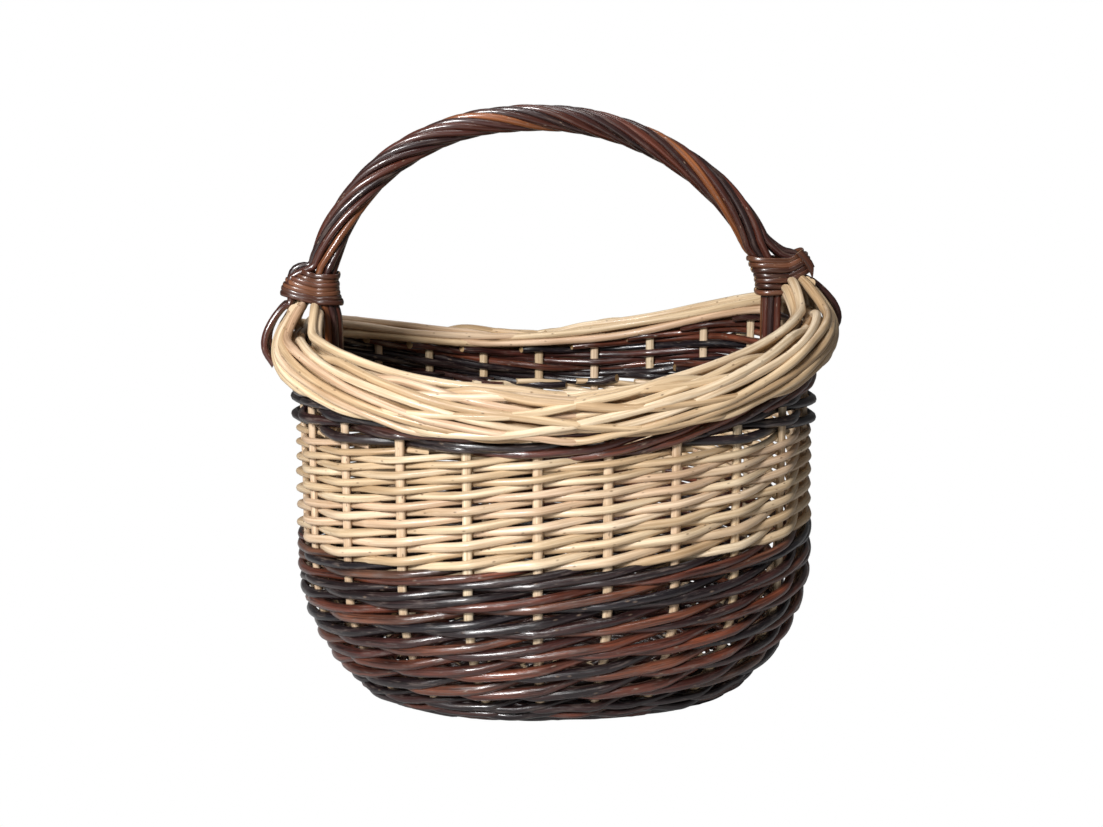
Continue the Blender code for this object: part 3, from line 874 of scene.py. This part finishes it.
def make_border(materials):
    """The rods of four quarters run from the handle's feet to the middles of the long sides."""
    quarters = {"front_left": 1, "front_right": -1, "back_right": 2, "back_left": -2}
    buff = materials["buff"]
    for count, (name, side) in enumerate(quarters.items()):
        for number, start in enumerate(BORDER_STARTS, 1):
            rng = np.random.default_rng(300 + 20 * count + number)
            made = border_rod(number, start, side, rng)
            cad = ("border",) if count == 0 and number == 1 else ()
            piece(f"border_{name}_{number:02d}", [made], buff, "buff_willow", *cad)
        for number in range(LIP_RODS):
            rng = np.random.default_rng(400 + 20 * count + number)
            piece(f"border_lip_{name}_{number + 1}", [lip_rod(number, side, rng)], buff, "buff_willow")
    for number, share in enumerate(CORE_SHARES, 1):
        made = core_rod(share, np.random.default_rng(450 + number))
        piece(f"border_core_{number}", [made], buff, "buff_willow")


# ---------------------------------------------------------------- handle


def foot_rim(side):
    """Height of the rim at a handle foot; levels named up are counted from it."""
    return RIM_MIDDLE + RIM_RISE + RIM_TILT * side


def bow_x(side, height):
    """How far out the bow's middle is at a height."""
    power = BOW_POWER[side]
    rise = min(max((height - BOW_BASE) / BOW_RISE, 0.0), 1.0)
    return BOW_SPAN[side] * (1 - rise ** power) ** (1 / power) + side * BOW_APEX_X


def bundle_x(side, up):
    """The bow's middle, eased over to the bundle that goes down inside the border."""
    start, end = BUNDLE_BLEND
    share = float(smooth((start - up) / (start - end)))
    line = bow_x(side, foot_rim(side) + up)
    return line + (BUNDLE_X - line) * share


def bow_line(count):
    """Evenly spaced points along the bow between its two feet, from -X to +X."""
    line = []
    for side in (-1, 1):
        power = BOW_POWER[side]
        angles = np.linspace(0, math.pi / 2, 361)
        out = BOW_SPAN[side] * np.cos(angles) ** (2 / power) + side * BOW_APEX_X
        up = BOW_BASE + BOW_RISE * np.sin(angles) ** (2 / power)
        quarter = np.column_stack((side * out, 0 * out, up))[up >= foot_rim(side) + TWIST_END]
        line.append(quarter if side < 0 else quarter[::-1][1:])
    line = np.vstack(line)
    length = run_length(line)
    wanted = np.linspace(0, length[-1], count)
    return np.stack([np.interp(wanted, length, line[:, axis]) for axis in range(3)], axis=1)


def rod_angle(number, share):
    """Angle of a rod round the bow, a share of the way along it; the twist is tightest at the top."""
    eased = share - TWIST_EASE * math.sin(2 * math.pi * share) / (2 * math.pi)
    return 2 * math.pi * number / ROD_COUNT + TWIST * (1 - eased)


def handle_leg(side, angle, start):
    """The end of a rod: the outer ones arch over the border, the inner ones go down inside it."""
    angle = (angle + math.pi) % (2 * math.pi) - math.pi
    rim = foot_rim(side)
    if abs(angle) < OUTER_LEG_ARC:
        out, leg = abs(start[0]), OUTER_LEG_X[side]
        top = HUMP[side] - OUTER_LEG_DROP * abs(math.sin(angle))
        path = [(out + (leg - out) * share, top - fall, 1.1) for share, fall in OUTER_LEG_ARCH]
        path += [(leg, HUMP[side] - 0.012, 1.15), (leg, 0.012, 1.2)]
        path += [(leg + (OUTER_LEG_REACH - leg) * share, up, fan) for share, up, fan in OUTER_LEG_FALL]
        return [np.array((side * x, start[1] * fan, rim + up)) for x, up, fan in path]
    path = []
    for up in INNER_LEG_LEVELS:
        out = bundle_x(side, up) + ROD_RING * math.cos(angle)
        path.append(np.array((side * out, ROD_RING * math.sin(angle) * 1.05, rim + up)))
    return path


def make_handle(materials):
    """Nine rods twisted together, running on into both feet."""
    line = bow_line(BOW_POINTS)
    tangents = unit(np.gradient(line, axis=0))
    along = np.linspace(0, 0.5, len(line))
    swell = HANDLE_SWELL * np.linspace(-1, 1, len(line)) ** 2
    for number, tone in enumerate(ROD_TONES):
        rng = np.random.default_rng(500 + number)
        ring = ROD_RING * (1 + swell + ripple(rng, along, waves=(3, 9), size=0.03))
        angles = np.array([rod_angle(number, i / (len(line) - 1)) for i in range(len(line))])
        angles += ripple(rng, along, waves=(3, 8), size=0.05)
        away = np.column_stack((-tangents[:, 2], 0 * angles, tangents[:, 0]))
        twisted = line + (ring * np.cos(angles))[:, None] * away
        twisted[:, 1] += ring * np.sin(angles)
        left = handle_leg(-1, angles[0], twisted[0])
        right = handle_leg(1, angles[-1], twisted[-1])
        points = through(left[::-1] + list(twisted) + right, HANDLE_STEP)
        radii = np.full(len(points), ROD_RADIUS) * (1 + 0.06 * rng.uniform(-1, 1))
        made = rod(points, radii, (0.03, 1.0, 0.02), rng, tone, sides=FINE_SIDES, worn=FINE_WORN)
        piece(f"handle_twist_rod_{number + 1}", [made], materials["handle"], "handle_willow",
              f"handle_rod_{number + 1}")


def make_handle_core(materials):
    """The stiff rod that the others are twisted round, running down inside the border at both feet."""
    rng = np.random.default_rng(520)
    feet = {}
    for side in (-1, 1):
        feet[side] = [np.array((side * bundle_x(side, up), 0.0, foot_rim(side) + up))
                      for up in INNER_LEG_LEVELS]
    points = through(feet[-1][::-1] + list(bow_line(BOW_POINTS))[1:-1] + feet[1], 0.0045)
    core = rod(points, np.full(len(points), CORE_ROD_RADIUS), (0.03, 1.0, 0.02), rng, 0.1)
    piece("handle_core_rod", [core], materials["handle"], "handle_willow", "handle_core")


def binding_turn(side, angle, up, grow, far):
    """Point of a binding's turn; past the kink it rides up over the rods that leave the handle."""
    near = bundle_x(side, up) - ROD_RING * (1 + HANDLE_SWELL) - BINDING_GAP
    x, y = unit_oval(angle, 2.7)
    out = (far + near) / 2 + ((far - near) / 2 + grow) * x
    kink = math.exp(-(((out - BINDING_KINK) / KINK_WIDTH) ** 2))
    depth = BINDING_DEPTH + grow - KINK_DEPTH * kink
    rise = BINDING_SLOPE[side] * max(out - BINDING_KINK, 0.0)
    return np.array((side * out, depth * y, foot_rim(side) + up + rise))


def skein_turn(side, up, far, rng):
    """One turn of flat skein, which starts and ends on the basket's inside."""
    angle = np.linspace(0, 2 * math.pi, 73) - math.pi / 2
    wander = ripple(rng, np.linspace(0, 0.13, len(angle)), waves=(6, 16), size=0.00035)
    grow = 0.0008 + 0.0005 * rng.uniform(-1, 1)
    points = np.array([binding_turn(side, a, up + w, grow, far) for a, w in zip(angle, wander)])
    middle = points.mean(axis=0)
    away = unit((points - middle) * (1.0, 2.5, 0.0))
    radii = np.full(len(points), SKEIN_RADIUS)
    return rod(points, radii, away, rng, float(rng.uniform(0, 1)), flat=SKEIN_FLAT, sides=FINE_SIDES)


def make_binding(side, name, materials):
    """Turns of flat skein round the handle's foot, drawn in towards the top."""
    rng = np.random.default_rng(600 + side)
    low, high = BINDING_FAR[side]
    turns = []
    for turn in range(BINDING_TURNS[side]):
        up = BINDING_LOW[side] + BINDING_PITCH[side] * turn
        far = low + (high - low) * (turn / (BINDING_TURNS[side] - 1)) ** 2
        turns.append(skein_turn(side, up, far, rng))
    piece(f"{name}_skein", turns, materials["skein"], "skein", name)


def make_right_tails(materials):
    """Two loose turns under the right binding, and its cut tail."""
    rng = np.random.default_rng(650)
    rim = foot_rim(1)
    turns = [skein_turn(1, up, LOWER_FAR, rng) for up in LOWER_TURNS]
    piece("binding_right_lower_skein", turns, materials["skein"], "skein")
    points = through([np.array((x, y, rim + up)) for x, y, up in TAIL_PATH], 0.002)
    radii = np.full(len(points), TAIL_RADIUS)
    tail = rod(points, radii, (0.3, -1.0, 0.1), rng, 0.5, flat=TAIL_FLAT, slant=(0.3, 1.6))
    piece("binding_right_tail", [tail], materials["skein"], "skein")


# ---------------------------------------------------------------- stage


def make_stage():
    """A pale floor that bounces light and grounds the basket; the camera sees white instead of it."""
    mesh = bpy.data.meshes.new("floor")
    mesh.from_pydata([(-3, -3, 0), (3, -3, 0), (3, 3, 0), (-3, 3, 0)], [], [(0, 1, 2, 3)])
    floor = bpy.data.objects.new("floor", mesh)
    bpy.context.scene.collection.objects.link(floor)
    material, _, shader = new_material("pale_floor")
    shader.inputs["Base Color"].default_value = (*grey(FLOOR_SHADE), 1.0)
    shader.inputs["Roughness"].default_value = 0.9
    mesh.materials.append(material)
    floor.visible_camera = False


def make_world():
    """White behind the basket, and a dimmer white that lights it."""
    world = bpy.data.worlds.new("studio")
    world.use_nodes = True
    tree = world.node_tree
    path = tree.nodes.new("ShaderNodeLightPath")
    strength = tree.nodes.new("ShaderNodeMapRange")
    strength.inputs["To Min"].default_value = WORLD_LIGHT
    strength.inputs["To Max"].default_value = WORLD_SEEN
    tree.links.new(path.outputs["Is Camera Ray"], strength.inputs["Value"])
    tree.links.new(strength.outputs["Result"], tree.nodes["Background"].inputs["Strength"])
    tree.nodes["Background"].inputs["Color"].default_value = (1.0, 1.0, 1.0, 1.0)
    bpy.context.scene.world = world


def make_lights():
    """A strong lamp from the front left, a narrow one from above and a weak one from behind."""
    for name, (place, size, power) in LIGHTS.items():
        data = bpy.data.lights.new(name, "AREA")
        data.shape = "RECTANGLE"
        data.size, data.size_y = size
        data.energy = power
        lamp = bpy.data.objects.new(name, data)
        lamp.location = place
        lamp.rotation_euler = (Vector(LIGHT_AIM) - Vector(place)).to_track_quat("-Z", "Y").to_euler()
        bpy.context.scene.collection.objects.link(lamp)


def make_camera():
    """Seen from the front and slightly above, a little to the left of the middle."""
    azimuth, elevation = math.radians(CAMERA_AZIMUTH), math.radians(CAMERA_ELEVATION)
    back = np.array((math.sin(azimuth) * math.cos(elevation), -math.cos(azimuth) * math.cos(elevation),
                     math.sin(elevation)))
    data = bpy.data.cameras.new("camera")
    data.lens = CAMERA_LENS
    data.sensor_width = 36
    camera = bpy.data.objects.new("camera", data)
    camera.location = np.array(CAMERA_AIM) + back * CAMERA_DISTANCE
    camera.rotation_euler = Vector(-back).to_track_quat("-Z", "Y").to_euler()
    bpy.context.scene.collection.objects.link(camera)
    bpy.context.scene.camera = camera


make_camera()
make_world()
make_lights()
make_stage()
materials = make_materials()
make_foot(materials)
make_siding(materials)
make_packing(materials)
make_top(materials)
make_stakes(materials)
make_base_sticks(materials)
make_base_weave(materials)
make_border(materials)
make_handle(materials)
make_handle_core(materials)
make_binding(-1, "binding_left", materials)
make_binding(1, "binding_right", materials)
make_right_tails(materials)
bpy.context.scene.view_settings.view_transform = "Standard"
